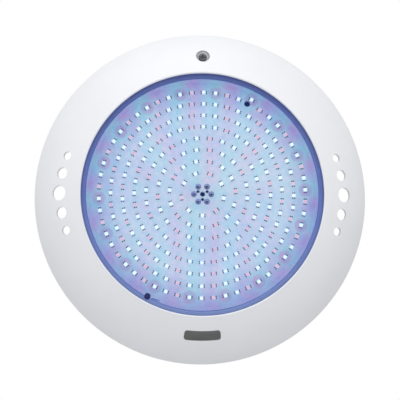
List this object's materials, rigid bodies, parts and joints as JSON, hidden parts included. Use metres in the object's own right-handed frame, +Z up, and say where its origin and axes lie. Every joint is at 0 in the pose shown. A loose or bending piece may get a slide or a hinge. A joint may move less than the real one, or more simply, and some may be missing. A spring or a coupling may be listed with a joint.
{
  "type": "underwater pool light",
  "caption": "Round flat surface-mounted underwater pool light: domed white face ring over a clear lens and LED board, on a hooked steel wall bracket.",
  "frame": {"origin": "on the pool wall, on the lamp's axis, in the middle of the bracket's rear face", "axes": "+Y into the wall, the light faces -Y, +Z up the wall, +X to the right of someone facing the light"},
  "size_m": [0.29, 0.0398, 0.29],
  "materials": {
    "white_abs": "fine satin moulding",
    "clear_polycarbonate": "clear polished",
    "clear_resin": "clear cast",
    "blue_silicone": "satin",
    "black_rubber": "matt",
    "stainless_steel": "brushed",
    "led_board_white": "white solder mask",
    "driver_board_green": "green solder mask",
    "potting_epoxy": "cast epoxy",
    "component_black": "moulded",
    "capacitor_sleeve": "shrink sleeve",
    "grey_nylon": "moulded",
    "white_nylon": "moulded",
    "lead_red": "insulation",
    "lead_green": "insulation",
    "lead_blue": "insulation",
    "lead_white": "insulation",
    "lead_yellow": "insulation",
    "lead_black": "insulation"
  },
  "bodies": {
    "wall_bracket": {"bracket_plate": "stainless_steel", "clip_nut": "stainless_steel"},
    "lamp": {"face_ring": "white_abs", "hinge_pin": "stainless_steel", "lens": "clear_polycarbonate", "lens_gasket": "blue_silicone", "front_resin": "clear_resin", "lamp_shell": "white_abs", "led_board": "led_board_white", "potting_block": "potting_epoxy", "driver_board": "driver_board_green", "rectifier": "component_black", "controller_ic": "component_black", "terminal_block": "grey_nylon", "mosfet_1": "component_black", "mosfet_2": "component_black", "mosfet_3": "component_black", "inductor": "component_black", "capacitor_1": "capacitor_sleeve", "capacitor_2": "capacitor_sleeve", "led_lead_1": "lead_red", "led_lead_2": "lead_green", "led_lead_3": "lead_blue", "led_lead_4": "lead_white", "led_lead_5": "lead_yellow", "led_lead_6": "lead_black", "clamp_ring": "grey_nylon", "clamp_screw_1": "stainless_steel", "clamp_screw_2": "stainless_steel", "clamp_screw_3": "stainless_steel", "clamp_screw_4": "stainless_steel", "clamp_screw_5": "stainless_steel", "clamp_screw_6": "stainless_steel", "clamp_screw_7": "stainless_steel", "clamp_screw_8": "stainless_steel", "gland_body": "grey_nylon", "gland_o_ring": "black_rubber", "gland_seal": "black_rubber", "gland_nut": "grey_nylon", "gland_locknut": "grey_nylon"},
    "screw_carriage": {"screw_washer": "white_nylon"},
    "screw": {"fixing_screw": "stainless_steel"}
  },
  "joints": [
    {"name": "lamp_tilt", "type": "hinge", "parent": "wall_bracket", "child": "lamp", "pos_m": [0, -0.0085, -0.133], "axis": [1, 0, 0], "range_deg": [0, 24]},
    {"name": "screw_travel", "type": "slide", "parent": "lamp", "child": "screw_carriage", "axis": [0, -1, 0], "range_m": [0, 0.014]},
    {"name": "screw_turn", "type": "hinge", "parent": "screw_carriage", "child": "screw", "pos_m": [0, -0.02, 0.1195], "axis": [0, -1, 0], "range_deg": [0, 7200]}
  ],
  "couplings": [
    {"joint": "screw_turn", "follows": "screw_travel", "rad_per_m": 8975.9}
  ]
}
